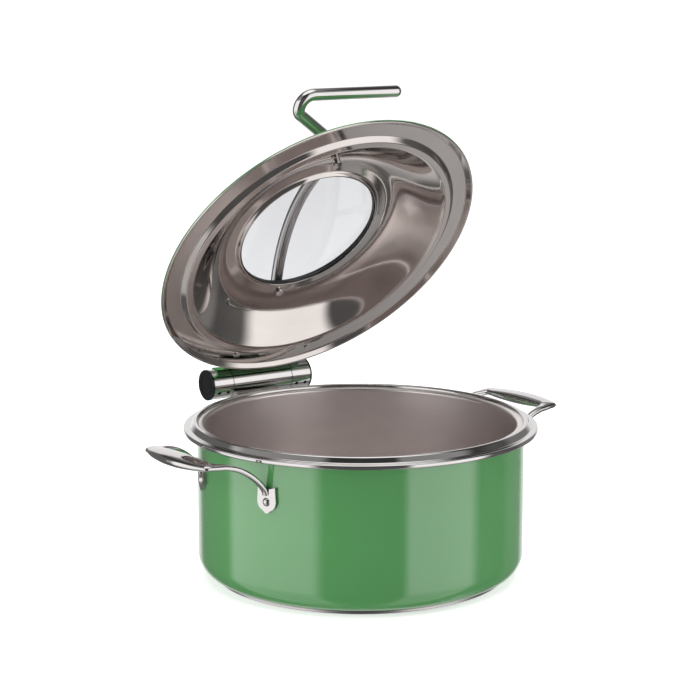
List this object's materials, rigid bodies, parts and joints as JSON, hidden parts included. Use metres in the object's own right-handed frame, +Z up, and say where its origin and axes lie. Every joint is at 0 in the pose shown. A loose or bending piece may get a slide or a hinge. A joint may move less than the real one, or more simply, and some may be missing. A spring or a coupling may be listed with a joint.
{
  "type": "soup kettle",
  "caption": "Round lidded soup kettle with a drop-in insert pot, two side handles and a back-hinged domed lid with a round glass window and a bent-rod handle.",
  "frame": {"origin": "centre of the base's flat underside, on the table", "axes": "+Z up, front of the kettle towards -Y, lid hinge at +Y, side handles at +X and -X"},
  "size_m": [0.4594, 0.3898, 0.4794],
  "materials": {
    "green_lacquer": "glossy lacquer on steel",
    "polished_steel": "mirror polished stainless steel",
    "lid_steel": "polished stainless steel with a fine turned grain",
    "satin_steel": "satin stainless steel",
    "spring_steel": "ground steel",
    "dark_steel": "blackened steel",
    "bronze": "sintered bronze",
    "bearing_plastic": "low friction plastic",
    "cap_black": "black moulded plastic",
    "seal_rubber": "black silicone rubber",
    "window_glass": "clear toughened glass"
  },
  "bodies": {
    "kettle": {"kettle_shell": "green_lacquer", "base_plate": "satin_steel", "rim_ring": "polished_steel", "insert_pot": "satin_steel", "side_handle_left": "polished_steel", "side_handle_right": "polished_steel", "handle_plates_left": "polished_steel", "handle_plates_right": "polished_steel", "handle_rivets_left": "polished_steel", "handle_rivets_right": "polished_steel", "hinge_bracket": "polished_steel", "bracket_rivets": "polished_steel", "hinge_sleeve": "polished_steel", "bush_left": "bearing_plastic", "bush_right": "bearing_plastic", "friction_bush": "bronze", "disc_springs": "spring_steel", "thrust_washers": "bearing_plastic"},
    "lid": {"lid_cover": "green_lacquer", "lid_liner": "lid_steel", "window_seal": "seal_rubber", "window_glass": "window_glass", "lid_handle": "polished_steel", "handle_spacers": "polished_steel", "handle_screws": "polished_steel", "hinge_yoke": "green_lacquer", "yoke_rivets": "polished_steel", "knuckle_left": "polished_steel", "knuckle_right": "polished_steel", "hinge_axle": "spring_steel", "end_cap_left": "cap_black", "end_cap_right": "cap_black", "set_screws": "dark_steel"}
  },
  "joints": [
    {"name": "lid_hinge", "type": "hinge", "parent": "kettle", "child": "lid", "pos_m": [0, 0.1985, 0.1609], "axis": [-1, 0, 0], "range_deg": [-52.3, 37.7]}
  ]
}
